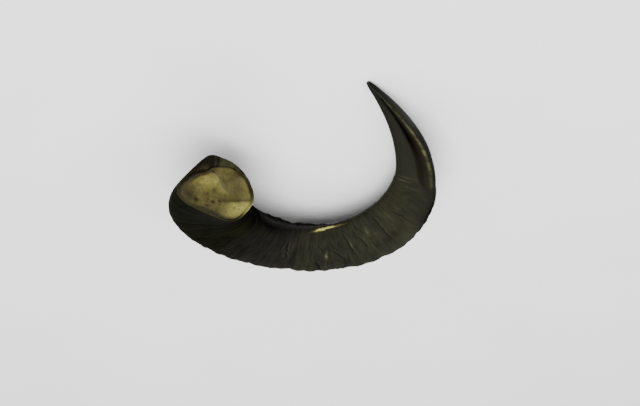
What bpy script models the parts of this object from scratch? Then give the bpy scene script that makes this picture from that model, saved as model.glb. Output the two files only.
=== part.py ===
"""One heavy ram's horn, taken off the skull and lying on its side, broad face up.

The sheath of dark horn winds three quarters of a turn from its open mouth to its tip.
Its section is a triangle with rounded edges: a broad top face, an inner face towards
the middle of the curl, an outer face away from it, and three edges between them.
The end of the bony core stands in the mouth, a little below the rim.
Places along the horn run from 0 at the mouth to 1 at the tip. Lengths are in metres.
"""

import math

import bmesh
import bpy
from mathutils import Matrix, Vector

# Centre line: how sharply it curls in plan, and how steeply it climbs (minus is down).
HORN_LENGTH = 0.555
MOUTH_HEADING = 63.0
BEND_PLACES = (0.0, 0.25, 0.5, 0.75, 1.0)
BEND_RADII = (0.1097, 0.1159, 0.1072, 0.1378, 0.2096)
CLIMB_ANGLES = (-22.94, -6.28, -1.39, -2.77, -22.06)

# Girth: the mean distance from the centre line to a face, and the roll of the section.
GIRTH_PLACES = (0.0, 0.2, 0.4, 0.6, 0.8, 0.92, 0.985, 1.0)
GIRTH_RADII = (0.0303, 0.0273, 0.0240, 0.0219, 0.0165, 0.0092, 0.0043, 0.0022)
ROLL_PLACES = (0.0, 0.33, 0.67, 0.85, 1.0)
ROLL_ANGLES = (2.7, -13.4, -34.1, -21.1, -34.6)

# Directions of the three faces and the three edges round the section, in degrees from
# the inward direction, and how far out each lies at the mouth, in the body and near
# the tip, as shares of the girth radius.
FLAT_ANGLES = (90.0, -30.0, 210.0, 270.0, 150.0, 30.0)
SHAPE_PLACES = (0.0, 0.35, 0.8)
MOUTH_SHAPE = (1.27, 1.43, 0.94, 1.19, 1.76, 1.36)
BODY_SHAPE = (0.81, 1.00, 1.20, 1.65, 1.38, 1.54)
TIP_SHAPE = (0.76, 1.13, 1.08, 1.10, 1.73, 1.46)
CORNER_SHARPNESS = 7.0

# The rim: the slant of the mouth across and up the section, and its chipped notch.
SLANT_INWARD = 0.16
SLANT_UP = -0.50
SLANT_FADE = 0.12
NOTCH_ANGLE = 312.0
NOTCH_WIDTH = 9.0
NOTCH_DEPTH = 0.0055
NOTCH_FADE = 0.004

# Growth: yearly grooves (place, depth, half width), wrinkles and the first-year cone.
YEAR_GROOVES = (
    (0.045, 0.0008, 0.006),
    (0.125, 0.0009, 0.007),
    (0.212, 0.0010, 0.007),
    (0.292, 0.0009, 0.007),
    (0.371, 0.0020, 0.008),
    (0.468, 0.0011, 0.007),
    (0.552, 0.0012, 0.007),
    (0.640, 0.0010, 0.007),
    (0.728, 0.0010, 0.006),
)
WRINKLE_SPACING = 0.0155
WRINKLE_HEIGHT = 0.0007
WRINKLE_END = 0.74
WRINKLE_FADE = 0.012
WANDER_LENGTH = 0.031
UNEVEN_LENGTH = 0.019
FIRST_YEAR_PLACE = 0.748
FIRST_YEAR_STEP = 0.0012
FIRST_YEAR_FADE = 0.004
THIN_GIRTH = 0.0165

# The hollow beside the outer edge near the tip, and the bulge where it begins.
KEEL_HOLLOW_ANGLE = 125.0
KEEL_HOLLOW_WIDTH = 13.0
KEEL_HOLLOW_DEPTH = 0.0026
KEEL_HOLLOW_START = 0.76
KEEL_HOLLOW_RISE = 0.06
BULGE_ANGLE = 158.0
BULGE_WIDTH = 18.0
BULGE_PLACE = 0.728
BULGE_LENGTH = 0.020
BULGE_HEIGHT = 0.0014

# The wall of the sheath: thinnest inwards, thicker on top and thickest under the horn
# (added thickness, angle, width), and the recess that the core fills.
WALL_THIN = 0.0018
WALL_SWELLINGS = ((0.0112, 252.0, 50.0), (0.0020, 118.0, 45.0))
WALL_GROWTH = 0.03
RECESS_DEPTH = 0.060
LIP_DROP = 0.0025
LIP_ROUNDING = 0.0010
CORE_GAP = 0.0006
TIP_POINT = 0.0016

# The core's end: lumps and hollows on it (across, up, radius, height; minus is a
# hollow), measured from the centre line. Its edge lies below the rim, least so on the
# inward side: the share is of the way from the first recess ring up to the lip.
CORE_LUMPS = (
    (-0.005, -0.012, 0.009, 0.0055),
    (0.001, -0.004, 0.009, 0.0060),
    (0.008, 0.004, 0.008, 0.0050),
    (0.014, 0.007, 0.007, 0.0030),
    (-0.026, 0.019, 0.009, -0.0030),
    (-0.008, 0.016, 0.006, -0.0030),
    (0.004, 0.027, 0.007, 0.0040),
    (-0.014, 0.025, 0.005, 0.0040),
    (0.021, 0.011, 0.007, -0.0030),
    (0.030, 0.019, 0.009, 0.0040),
    (0.027, -0.012, 0.012, 0.0020),
    (-0.007, -0.024, 0.010, -0.0035),
)
CORE_EDGE_LOW = 0.12
CORE_EDGE_RISE = 0.75
CORE_EDGE_ANGLE = 10.0
CORE_EDGE_WIDTH = 75.0
CORE_FLATNESS = 6

# How finely the solids are divided.
STATIONS = 132
AROUND = 30
EDGE_CROWDING = 0.15
RECESS_RINGS = 9
CORE_RINGS = 7

# The small lean that the horn takes when it is let go on a flat surface.
LEAN_X = 0.8
LEAN_Y = -0.05
CREASE_ANGLE = 50.0

SHEATH_COLOUR = (0.030, 0.028, 0.018, 1.0)
CORE_COLOUR = (0.36, 0.31, 0.15, 1.0)


def curve_value(places, values, place):
    """Smooth curve through values at places, with each slope set by its neighbours."""
    last = len(places) - 1
    slopes = []
    for i in range(last + 1):
        low = max(i - 1, 0)
        high = min(i + 1, last)
        slopes.append((values[high] - values[low]) / (places[high] - places[low]))
    place = min(max(place, places[0]), places[-1])
    i = 0
    while i < last - 1 and place >= places[i + 1]:
        i += 1
    span = places[i + 1] - places[i]
    t = (place - places[i]) / span
    rise = 3 * t**2 - 2 * t**3
    return (
        (1 - rise) * values[i]
        + rise * values[i + 1]
        + (t**3 - 2 * t**2 + t) * span * slopes[i]
        + (t**3 - t**2) * span * slopes[i + 1]
    )


def centre_line():
    """Stations along the horn, each with its place, point and three directions."""
    step = HORN_LENGTH / STATIONS
    bends = [1.0 / radius for radius in BEND_RADII]
    heading = math.radians(MOUTH_HEADING)
    point = Vector((0.0, 0.0, 0.0))
    stations = []
    for i in range(STATIONS + 1):
        place = i / STATIONS
        climb = math.radians(curve_value(BEND_PLACES, CLIMB_ANGLES, place))
        forward = Vector(
            (
                math.cos(climb) * math.cos(heading),
                math.cos(climb) * math.sin(heading),
                math.sin(climb),
            )
        )
        upward = (Vector((0.0, 0.0, 1.0)) - forward * forward.z).normalized()
        inward = upward.cross(forward)
        stations.append((place, point.copy(), forward, inward, upward))
        point += forward * step
        heading += curve_value(BEND_PLACES, bends, place) * step
    return stations


def near(angle, middle, width):
    """One at the middle angle, falling smoothly to nothing away from it (degrees)."""
    gap = (angle - middle + 180.0) % 360.0 - 180.0
    return math.exp(-((gap / width) ** 2))


def fall(place, middle, length):
    """Falls smoothly from one before the middle place to nothing after it."""
    return 1.0 / (1.0 + math.exp((place - middle) / length))


def growth_relief(place, angle):
    """Height of the growth marks over the plain section."""
    along = place * HORN_LENGTH
    relief = 0.0
    for groove, depth, half_width in YEAR_GROOVES:
        gap = (along - groove * HORN_LENGTH) / half_width
        relief -= depth * math.exp(-gap * gap)
    wander = 0.35 * math.sin(along / WANDER_LENGTH) + 0.12 * math.sin(math.radians(angle) * 2.0)
    turns = along / WRINKLE_SPACING + wander
    fade = fall(place, WRINKLE_END, WRINKLE_FADE)
    uneven = 0.75 + 0.25 * math.sin(along / UNEVEN_LENGTH + 1.3)
    relief += WRINKLE_HEIGHT * uneven * fade * math.cos(2.0 * math.pi * turns)
    relief -= FIRST_YEAR_STEP * (1.0 - fall(place, FIRST_YEAR_PLACE, FIRST_YEAR_FADE))
    bulge = math.exp(-(((place - BULGE_PLACE) / BULGE_LENGTH) ** 2))
    relief += BULGE_HEIGHT * bulge * near(angle, BULGE_ANGLE, BULGE_WIDTH)
    grown = min(max((place - KEEL_HOLLOW_START) / KEEL_HOLLOW_RISE, 0.0), 1.0)
    slimming = curve_value(GIRTH_PLACES, GIRTH_RADII, place) / THIN_GIRTH
    hollow = near(angle, KEEL_HOLLOW_ANGLE, KEEL_HOLLOW_WIDTH)
    relief -= KEEL_HOLLOW_DEPTH * grown * min(slimming, 1.0) * hollow
    return relief * min(1.0, 3.0 * slimming)


def section_radius(place, angle):
    """Distance from the centre line to the surface at an angle round the section."""
    girth = curve_value(GIRTH_PLACES, GIRTH_RADII, place)
    total = 0.0
    for i, flat_angle in enumerate(FLAT_ANGLES):
        shape = (MOUTH_SHAPE[i], BODY_SHAPE[i], TIP_SHAPE[i])
        reach = girth * curve_value(SHAPE_PLACES, shape, place)
        facing = math.cos(math.radians(angle - flat_angle))
        if facing > 0.0:
            total += (facing / reach) ** CORNER_SHARPNESS
    return total ** (-1.0 / CORNER_SHARPNESS) + growth_relief(place, angle)


def ring_angles():
    """Angles of the points round a ring, closer together at the three edges."""
    angles = []
    for i in range(AROUND):
        even = 6.0 + 360.0 * i / AROUND
        pull = EDGE_CROWDING * math.sin(math.radians(3.0 * (even - 30.0)))
        angles.append(even - math.degrees(pull))
    return angles


def wall_thickness(angle, place):
    """Thickness of the sheath's wall round the mouth, growing further in."""
    thickness = WALL_THIN + WALL_GROWTH * place
    for added, middle, width in WALL_SWELLINGS:
        thickness += added * near(angle, middle, width)
    return thickness


def surface_point(station, angle, inset):
    """A point at an angle round a station, inset from the outer surface."""
    place, point, forward, inward, upward = station
    radius = section_radius(place, angle) - inset
    turned = math.radians(angle + curve_value(ROLL_PLACES, ROLL_ANGLES, place))
    across = radius * math.cos(turned)
    up = radius * math.sin(turned)
    fade = math.exp(-place / SLANT_FADE)
    slant = (SLANT_INWARD * across + SLANT_UP * up) * fade
    notch = NOTCH_DEPTH * near(angle, NOTCH_ANGLE, NOTCH_WIDTH)
    slant += notch * math.exp(-place / NOTCH_FADE)
    return point + inward * across + upward * up + forward * slant


def first_ring(mesh, points):
    """Closed loop of edges through the points."""
    verts = [mesh.verts.new(point) for point in points]
    for i, vert in enumerate(verts):
        mesh.edges.new((vert, verts[(i + 1) % len(verts)]))
    return verts


def next_ring(mesh, verts, points):
    """Extrudes a ring and moves the new ring to the points."""
    edges = []
    for i, vert in enumerate(verts):
        edges.append(mesh.edges.get((vert, verts[(i + 1) % len(verts)])))
    grown = bmesh.ops.extrude_edge_only(mesh, edges=edges)["geom"]
    new_verts = {item for item in grown if isinstance(item, bmesh.types.BMVert)}
    ring = []
    for vert, point in zip(verts, points):
        for edge in vert.link_edges:
            other = edge.other_vert(vert)
            if other in new_verts:
                other.co = point
                ring.append(other)
    return ring


def close_ring(mesh, verts, centre):
    """Closes a ring with a fan of faces round a centre point."""
    middle = mesh.verts.new(centre)
    for i, vert in enumerate(verts):
        mesh.faces.new((vert, verts[(i + 1) % len(verts)], middle))


def finished_object(mesh, name, colour, roughness):
    """Makes a smooth-shaded object with its own material from the mesh."""
    bmesh.ops.recalc_face_normals(mesh, faces=mesh.faces)
    data = bpy.data.meshes.new(name)
    mesh.to_mesh(data)
    mesh.free()
    data.shade_smooth()
    data.set_sharp_from_angle(angle=math.radians(CREASE_ANGLE))
    material = bpy.data.materials.new(name)
    material.use_nodes = True
    shader = material.node_tree.nodes["Principled BSDF"]
    shader.inputs["Base Color"].default_value = colour
    shader.inputs["Roughness"].default_value = roughness
    shader.inputs["Metallic"].default_value = 0.0
    data.materials.append(material)
    item = bpy.data.objects.new(name, data)
    bpy.context.collection.objects.link(item)
    return item


def station_at(stations, place):
    """The station at any place, between the two stations beside it."""
    i = min(int(place * STATIONS), STATIONS - 1)
    t = place * STATIONS - i
    before = stations[i]
    after = stations[i + 1]
    blended = [a.lerp(b, t) for a, b in zip(before[1:], after[1:])]
    return (place, blended[0], *[direction.normalized() for direction in blended[1:]])


def recess_places():
    """Places of the rings down the recess, from its floor up to the rim."""
    deepest = RECESS_DEPTH / HORN_LENGTH
    return [deepest * (1.0 - i / RECESS_RINGS) for i in range(RECESS_RINGS)]


def lip_point(mouth, angle, inset):
    """A point of the lip's inner edge, or one inset from it into the recess."""
    spot = surface_point(mouth, angle, wall_thickness(angle, 0.0) + inset)
    return spot + mouth[2] * LIP_DROP


def horn_sheath(stations):
    """The sheath: recess floor, inner wall, lip, outer surface and tip in one skin."""
    angles = ring_angles()
    mesh = bmesh.new()
    ring = None
    for place in recess_places():
        station = station_at(stations, place)
        points = [surface_point(station, a, wall_thickness(a, place)) for a in angles]
        if ring is None:
            ring = first_ring(mesh, points)
            floor_ring = ring
            floor_centre = sum(points, Vector()) / AROUND
        else:
            ring = next_ring(mesh, ring, points)
    mouth = stations[0]
    ring = next_ring(mesh, ring, [lip_point(mouth, a, 0.0) for a in angles])
    ring = next_ring(mesh, ring, [surface_point(mouth, a, LIP_ROUNDING) for a in angles])
    for station in stations:
        points = [surface_point(station, a, 0.0) for a in angles]
        ring = next_ring(mesh, ring, points)
    tip = stations[-1]
    close_ring(mesh, ring, tip[1] + tip[2] * TIP_POINT)
    close_ring(mesh, floor_ring, floor_centre)
    return finished_object(mesh, "horn_sheath", SHEATH_COLOUR, 0.62)


def core_height(across, up):
    """Height of the core's end over its plain level, from its lumps and hollows."""
    height = 0.0
    for middle_across, middle_up, radius, rise in CORE_LUMPS:
        gap = ((across - middle_across) ** 2 + (up - middle_up) ** 2) / radius**2
        height += rise * math.exp(-gap)
    return height


def core_side(station, angle):
    """A point on the core's side, a gap away from the wall of the recess."""
    return surface_point(station, angle, wall_thickness(angle, station[0]) + CORE_GAP)


def core_point(mouth, station, angle, share):
    """A point on the core's end, at a share of the way out to its edge."""
    rise = CORE_EDGE_LOW + CORE_EDGE_RISE * near(angle, CORE_EDGE_ANGLE, CORE_EDGE_WIDTH)
    edge = core_side(station, angle).lerp(lip_point(mouth, angle, CORE_GAP), rise)
    spot = station[1].lerp(edge, share)
    offset = spot - station[1]
    height = core_height(offset.dot(station[3]), offset.dot(station[4]))
    return spot - station[2] * height * (1.0 - share**CORE_FLATNESS)


def bone_core(stations):
    """The end of the bony core: lumpy on top, with sides that follow the recess."""
    angles = ring_angles()
    mesh = bmesh.new()
    places = recess_places()[::-1]
    mouth = stations[0]
    rim = station_at(stations, places[0])
    ring = None
    for i in range(1, CORE_RINGS + 1):
        share = math.sin(0.5 * math.pi * i / CORE_RINGS)
        points = [core_point(mouth, rim, a, share) for a in angles]
        if ring is None:
            ring = first_ring(mesh, points)
            top_ring = ring
        else:
            ring = next_ring(mesh, ring, points)
    places[-1] -= CORE_GAP / HORN_LENGTH
    for place in places:
        station = station_at(stations, place)
        points = [core_side(station, a) for a in angles]
        ring = next_ring(mesh, ring, points)
    close_ring(mesh, top_ring, core_point(mouth, rim, 0.0, 0.0))
    close_ring(mesh, ring, sum(points, Vector()) / AROUND)
    return finished_object(mesh, "bone_core", CORE_COLOUR, 0.7)


def lay_down(items):
    """Leans the pieces to their rest and sets the horn's lowest point on the floor."""
    rest = bpy.data.objects.new("horn_rest", None)
    bpy.context.collection.objects.link(rest)
    lean = Matrix.Rotation(math.radians(LEAN_X), 4, "X")
    lean = lean @ Matrix.Rotation(math.radians(LEAN_Y), 4, "Y")
    corners = [lean @ vert.co for item in items for vert in item.data.vertices]
    low = Vector([min(corner[i] for corner in corners) for i in range(3)])
    high = Vector([max(corner[i] for corner in corners) for i in range(3)])
    rest.rotation_euler = lean.to_euler()
    rest.location = (-(low.x + high.x) / 2, -(low.y + high.y) / 2, -low.z)
    for item in items:
        item.parent = rest


def main():
    for item in list(bpy.data.objects):
        bpy.data.objects.remove(item)
    stations = centre_line()
    lay_down([horn_sheath(stations), bone_core(stations)])


main()
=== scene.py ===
"""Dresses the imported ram's horn: fine growth relief, worn edges, bony core and soft light.

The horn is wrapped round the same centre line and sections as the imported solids, only
divided finely enough for its growth lines. Lengths are in metres. Places along the
horn run from 0 at the mouth to 1 at the tip, and angles round it are in degrees.
"""

import math
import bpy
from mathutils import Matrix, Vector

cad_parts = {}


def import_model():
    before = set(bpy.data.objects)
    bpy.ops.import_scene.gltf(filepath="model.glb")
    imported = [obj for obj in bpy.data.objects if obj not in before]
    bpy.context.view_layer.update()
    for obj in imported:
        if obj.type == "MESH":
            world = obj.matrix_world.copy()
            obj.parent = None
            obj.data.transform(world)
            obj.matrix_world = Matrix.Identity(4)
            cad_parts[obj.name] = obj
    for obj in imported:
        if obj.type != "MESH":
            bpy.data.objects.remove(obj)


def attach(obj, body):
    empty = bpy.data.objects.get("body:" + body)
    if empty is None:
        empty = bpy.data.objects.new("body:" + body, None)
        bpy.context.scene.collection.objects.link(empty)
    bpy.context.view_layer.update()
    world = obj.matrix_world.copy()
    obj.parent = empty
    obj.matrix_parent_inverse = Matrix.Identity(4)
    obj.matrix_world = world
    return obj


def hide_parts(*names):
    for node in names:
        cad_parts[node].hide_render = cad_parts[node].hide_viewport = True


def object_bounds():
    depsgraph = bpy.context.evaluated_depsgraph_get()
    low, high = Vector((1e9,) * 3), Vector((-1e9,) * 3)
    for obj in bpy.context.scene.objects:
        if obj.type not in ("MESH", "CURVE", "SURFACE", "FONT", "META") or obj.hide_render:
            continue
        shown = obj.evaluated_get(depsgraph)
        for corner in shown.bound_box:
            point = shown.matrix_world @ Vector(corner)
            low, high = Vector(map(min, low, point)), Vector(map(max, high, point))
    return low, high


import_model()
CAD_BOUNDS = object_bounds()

from types import SimpleNamespace

import bmesh
import bpy
import numpy as np
from bpy.props import FloatProperty, FloatVectorProperty, IntProperty, PointerProperty
from mathutils import Matrix, Vector

bl_info = {
    "name": "Ram Horn",
    "version": (1, 0, 0),
    "blender": (4, 5, 0),
    "location": "View3D > Sidebar > Horn",
    "description": "Builds a curled ram's horn with its bony core on a plain studio floor",
    "category": "Object",
}

# Stations of the centre line, and the places where its curves have their values.
STATIONS = 132
BEND_PLACES = (0.0, 0.25, 0.5, 0.75, 1.0)
GIRTH_PLACES = (0.0, 0.2, 0.4, 0.6, 0.8, 0.92, 0.985, 1.0)
ROLL_PLACES = (0.0, 0.33, 0.67, 0.85, 1.0)
SHAPE_PLACES = (0.0, 0.35, 0.8)

# Directions round the section, in degrees from the inward one: the top, inner and
# outer faces, then the under, outer and inner edges.
FLAT_ANGLES = (90.0, -30.0, 210.0, 270.0, 150.0, 30.0)
CORNER_SHARPNESS = 7.0
KEEL_ANGLE = 150.0

# The girth that the tip's relief is measured against, and how far its last point stands out.
TIP_GIRTH = 0.0165
TIP_POINT = 0.0012

# The recess in the mouth: rings down it on the solid and here, rings over the lip, how
# far the lip drops inward and rises in its middle, and the first ring with nicks.
RECESS_RINGS = 9
RECESS_ROWS = 12
LIP_ROWS = 5
LIP_DROP = 0.0025
LIP_CROWN = 0.0003
FIRST_NICKED_RING = 5

# The notch in the rim: angle, half width, depth, and how soon it fades along the horn.
NOTCH_ANGLE = 312.0
NOTCH_WIDTH = 9.0
NOTCH_DEPTH = 0.0055
NOTCH_FADE = 0.004

# Thicker parts of the wall round the mouth: angle, half width, thickness.
WALL_SWELLINGS = (
    (252.0, 50.0, 0.0112),
    (118.0, 45.0, 0.0020),
)
WALL_GROWTH = 0.03

# Yearly grooves: place, depth, half width.
YEAR_GROOVES = (
    (0.045, 0.0008, 0.006),
    (0.125, 0.0009, 0.007),
    (0.212, 0.0010, 0.007),
    (0.292, 0.0009, 0.007),
    (0.371, 0.0020, 0.008),
    (0.468, 0.0011, 0.007),
    (0.552, 0.0012, 0.007),
    (0.640, 0.0010, 0.007),
    (0.728, 0.0010, 0.006),
)

# Broad wrinkles: the length of one, the lengths over which they drift and swell, and
# the place where they end.
WRINKLE_LENGTH = 0.0155
WRINKLE_DRIFT = 0.031
WRINKLE_SWELL = 0.019
WRINKLE_END = 0.74

# The smooth cone of the first year: where it starts, and how far it steps in.
CONE_START = 0.748
CONE_STEP = 0.0012

# The hollow beside the keel on the cone: angle, half width, depth.
KEEL_HOLLOW_ANGLE = 125.0
KEEL_HOLLOW_WIDTH = 13.0
KEEL_HOLLOW_DEPTH = 0.0026

# Where the growth ridges stand higher or lower: angle, half width, share.
RIDGE_EDGES = (
    (KEEL_ANGLE, 30.0, 1.0),
    (270.0, 30.0, 0.5),
    (8.0, 34.0, -1.0),
)

# Rings down the side of the core, and the station whose directions measure its end.
CORE_SIDE_ROWS = 14
CORE_STATION = 2

# Lumps and hollows of the core's end: across, up, radius, height.
CORE_LUMPS = (
    (-0.005, -0.012, 0.009, 0.0055),
    (0.001, -0.004, 0.009, 0.0060),
    (0.008, 0.004, 0.008, 0.0050),
    (0.014, 0.007, 0.007, 0.0030),
    (-0.026, 0.019, 0.009, -0.0030),
    (-0.008, 0.016, 0.006, -0.0030),
    (0.004, 0.027, 0.007, 0.0040),
    (-0.014, 0.025, 0.005, 0.0040),
    (0.021, 0.011, 0.007, -0.0030),
    (0.030, 0.019, 0.009, 0.0040),
    (0.027, -0.012, 0.012, 0.0020),
    (-0.007, -0.024, 0.010, -0.0035),
)

# The sharp crest on the core's end, as points across and up, and its height.
CORE_CREST = (
    (-0.011, -0.019),
    (-0.0055, -0.0131),
    (-0.0005, -0.0078),
    (0.0062, 0.0043),
    (0.0134, 0.0063),
)
CREST_HEIGHT = 0.0022

# Deep pits in the core's end: across, up, radius.
CORE_PITS = (
    (-0.0072, 0.0262, 0.0022),
    (-0.0010, 0.0200, 0.0016),
    (0.0105, 0.0347, 0.0026),
    (-0.0040, -0.0150, 0.0018),
    (-0.0190, 0.0230, 0.0020),
)

# Cuts across the growth lines: place and angle of both ends, depth, half width.
CUTS = (
    (0.340, 72.0, 0.346, 50.0, 0.0010, 0.0011),
    (0.360, 112.0, 0.353, 44.0, 0.0014, 0.0012),
    (0.430, 60.0, 0.448, 92.0, 0.0009, 0.0010),
    (0.455, 80.0, 0.482, 131.0, 0.0012, 0.0013),
    (0.500, 46.0, 0.507, 134.0, 0.0010, 0.0011),
    (0.530, 60.0, 0.541, 120.0, 0.0009, 0.0010),
    (0.597, 35.0, 0.597, 126.0, 0.0012, 0.0013),
    (0.205, 48.0, 0.215, 110.0, 0.0010, 0.0012),
    (0.090, 95.0, 0.090, 150.0, 0.0009, 0.0011),
    (0.425, 128.0, 0.430, 150.0, 0.0014, 0.0018),
    (0.655, 60.0, 0.662, 140.0, 0.0009, 0.0011),
)

# The worn streak on the inner edge: place, angle, half width in degrees, paleness.
WORN_STREAK = (
    (0.404, 29.0, 0.8, 0.03),
    (0.414, 28.2, 1.3, 0.06),
    (0.424, 26.8, 2.0, 0.30),
    (0.432, 26.0, 2.8, 1.00),
    (0.462, 24.6, 3.0, 1.00),
    (0.480, 25.0, 2.4, 0.80),
    (0.488, 26.0, 2.4, 0.12),
    (0.500, 26.3, 2.2, 0.12),
    (0.524, 28.0, 1.0, 0.04),
)

# Darker brown spots in the core's hollows, and the olive spot on the core's end: across, up, radius,
# strength.
CORE_HOLLOWS = (
    (-0.0260, 0.0190, 0.007, 0.90),
    (-0.0070, -0.0260, 0.009, 0.80),
    (0.0238, -0.0215, 0.005, 0.35),
    (-0.0220, -0.0045, 0.004, 0.60),
)
CORE_OLIVE = ((0.0033, 0.0287, 0.0060, 0.5),)

# Bands along the core's edge: angle, half width, the shares of the way out where the
# band starts and is full, raggedness, strength.
CORE_SHADOW = ((205.0, 85.0, 0.945, 0.99, 0.03, 1.0),)
# A brown band along the core's upper left edge.
CORE_BROWN_BAND = ((200.0, 44.0, 0.68, 0.83, 0.06, 1.0),)
CORE_MARGIN = ((102.0, 42.0, 0.875, 0.915, 0.02, 1.0),)
# Painted shadow along the core's edge, where it meets the sheath.
CORE_GAP_SHADOWS = (
    (176.0, 40.0, 0.89, 0.935, 0.03, 1.0),
    (-16.0, 13.0, 0.95, 0.975, 0.02, 1.0),
    (57.0, 15.0, 0.93, 0.96, 0.02, 0.7),
    (218.0, 26.0, 0.86, 0.93, 0.04, 0.3),
)

# Spots of painted shade and brown spots on the sheath: place, angle, half length in place,
# half width in degrees, strength.
SHADE_SPOTS = (
    (0.205, 12.0, 0.028, 20.0, 0.8),
    (0.310, 24.0, 0.045, 13.0, 0.5),
)
BROWN_SPOTS = (
    (0.600, 126.0, 0.030, 13.0, 0.40),
    (0.452, 19.0, 0.022, 4.0, 0.80),
    (0.205, 6.0, 0.009, 8.0, 0.45),
)

# Bands of painted shadow next to the core, and olive bands, on the wall's edge round the mouth: angle,
# half width, strength.
WALL_SHADOWS = (
    (250.0, 13.0, 1.0),
    (172.0, 28.0, 0.95),
    (-16.0, 16.0, 0.9),
    (57.0, 16.0, 1.1),
)
WALL_GREEN = (
    (115.0, 45.0, 1.0),
    (0.0, 40.0, 0.6),
)

# Grey scuffs: place, angle, half length in place, half width in degrees, strength.
SCUFFS = (
    (0.446, 105.0, 0.0024, 11.0, 1.0),
    (0.352, 95.0, 0.0030, 16.0, 0.12),
    (0.366, 75.0, 0.0030, 20.0, 0.14),
    (0.508, 84.0, 0.0024, 18.0, 0.14),
    (0.560, 66.0, 0.0050, 14.0, 0.20),
    (0.574, 80.0, 0.0040, 14.0, 0.16),
    (0.634, 70.0, 0.0034, 20.0, 0.12),
    (0.757, 60.0, 0.0020, 26.0, 0.30),
    (0.769, 70.0, 0.0020, 30.0, 0.26),
    (0.744, 74.0, 0.0018, 26.0, 0.24),
    (0.212, 25.0, 0.0040, 6.0, 0.14),
)

# How light the horn is along its length: place, share.
TONES = (
    (0.0, 0.30),
    (0.10, 0.36),
    (0.22, 0.60),
    (0.33, 0.66),
    (0.40, 0.86),
    (0.52, 1.13),
    (0.62, 1.62),
    (0.72, 1.18),
    (0.90, 0.98),
    (0.96, 0.62),
    (1.0, 0.45),
)

# Colours laid over the wall and over the bone, each by the point attribute of its name.
WALL_LAYERS = (
    # Partly the wall's own brown, partly painted shade.
    ("wall_brown", (0.0185, 0.0136, 0.0070)),
    # Painted shadow.
    ("wall_shadow", (0.0060, 0.0048, 0.0036)),
    ("wall_green", (0.031, 0.031, 0.0110)),
    # The wall's pale cream, painted brighter where it faces the light.
    ("wall_pale", (0.225, 0.208, 0.060)),
)
BONE_LAYERS = (
    # The bone's yellow, partly painted light.
    ("lit_yellow", (0.255, 0.235, 0.056)),
    # Painted highlight.
    ("crest", (0.135, 0.123, 0.031)),
    # Brown, with painted shade.
    ("hollow", (0.022, 0.0145, 0.0048)),
    ("margin", (0.0150, 0.0145, 0.0048)),
    # Painted shadow.
    ("gap_shadow", (0.0085, 0.0075, 0.0045)),
)

# Soft lights: name, place, size, power in watts; and the point that they are aimed at.
LIGHTS = (
    ("key", (0.25, -0.7, 1.7), 1.5, 52.0),
    ("fill", (-1.3, -0.7, 1.0), 1.4, 16.0),
    ("back", (0.3, 1.2, 1.4), 1.4, 14.0),
)
LIGHT_AIM = (0.0, 0.0, 0.04)


def colour_setting(name, description, default):
    """A colour property of a settings group."""
    return FloatVectorProperty(
        name=name,
        description=description,
        size=3,
        subtype="COLOR",
        min=0.0,
        max=1.0,
        default=default,
    )


class HornShapeSettings(bpy.types.PropertyGroup):
    """Centre line, girth and section of the horn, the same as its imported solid."""

    length: FloatProperty(
        name="Length", description="Length of the centre line", default=0.555, unit="LENGTH"
    )
    heading: FloatProperty(
        name="Heading", description="Plan heading at the mouth, in degrees", default=63.0
    )
    bend_radii: FloatVectorProperty(
        name="Bend radii",
        description="Radius of the curl in plan at five places",
        size=5,
        default=(0.1097, 0.1159, 0.1072, 0.1378, 0.2096),
        unit="LENGTH",
    )
    climb_angles: FloatVectorProperty(
        name="Climb",
        description="Climb of the centre line at five places, in degrees",
        size=5,
        default=(-22.94, -6.28, -1.39, -2.77, -22.06),
    )
    girth_radii: FloatVectorProperty(
        name="Girth",
        description="Mean distance from the centre line to a face at eight places",
        size=8,
        default=(0.0303, 0.0273, 0.0240, 0.0219, 0.0165, 0.0092, 0.0043, 0.0022),
        unit="LENGTH",
    )
    roll_angles: FloatVectorProperty(
        name="Roll",
        description="Roll of the section at five places, in degrees",
        size=5,
        default=(2.7, -13.4, -34.1, -21.1, -34.6),
    )
    mouth_shape: FloatVectorProperty(
        name="Mouth shape",
        description="Reach of each face and edge at the mouth, as shares of the girth",
        size=6,
        default=(1.27, 1.43, 0.94, 1.19, 1.76, 1.36),
    )
    body_shape: FloatVectorProperty(
        name="Body shape",
        description="Reach of each face and edge in the body, as shares of the girth",
        size=6,
        default=(0.81, 1.00, 1.20, 1.65, 1.38, 1.54),
    )
    tip_shape: FloatVectorProperty(
        name="Tip shape",
        description="Reach of each face and edge near the tip, as shares of the girth",
        size=6,
        default=(0.76, 1.13, 1.08, 1.10, 1.73, 1.46),
    )
    slant: FloatVectorProperty(
        name="Slant of the mouth",
        description="Slope of the rim across and up the section, and its fade along",
        size=3,
        default=(0.16, -0.50, 0.12),
    )
    lean: FloatVectorProperty(
        name="Lean", description="Lean at rest about X and Y, in degrees", size=2, default=(0.8, -0.05)
    )
    mouth_point: FloatVectorProperty(
        name="Mouth point",
        description="Where the centre line starts in the packed frame",
        size=3,
        default=(0.08969776, -0.05767548, 0.07482485),
        unit="LENGTH",
    )


class HornSurfaceSettings(bpy.types.PropertyGroup):
    """Relief of the horn's surface and how finely the sheath is divided."""

    rows: IntProperty(name="Rows", description="Rings along the outer surface", default=800)
    columns: IntProperty(name="Columns", description="Points round each ring", default=112)
    wrinkle: FloatProperty(
        name="Wrinkles", description="Height of the broad wrinkles", default=0.0007, unit="LENGTH"
    )
    ridge: FloatProperty(
        name="Ridges", description="Height of the growth ridges", default=0.00055, unit="LENGTH"
    )
    fine: FloatProperty(
        name="Fine lines", description="Height of the fine growth lines", default=0.00022, unit="LENGTH"
    )
    wall: FloatProperty(
        name="Wall", description="Thinnest wall at the rim", default=0.0018, unit="LENGTH"
    )
    recess: FloatProperty(
        name="Recess", description="Depth of the recess for the core", default=0.060, unit="LENGTH"
    )


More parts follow.
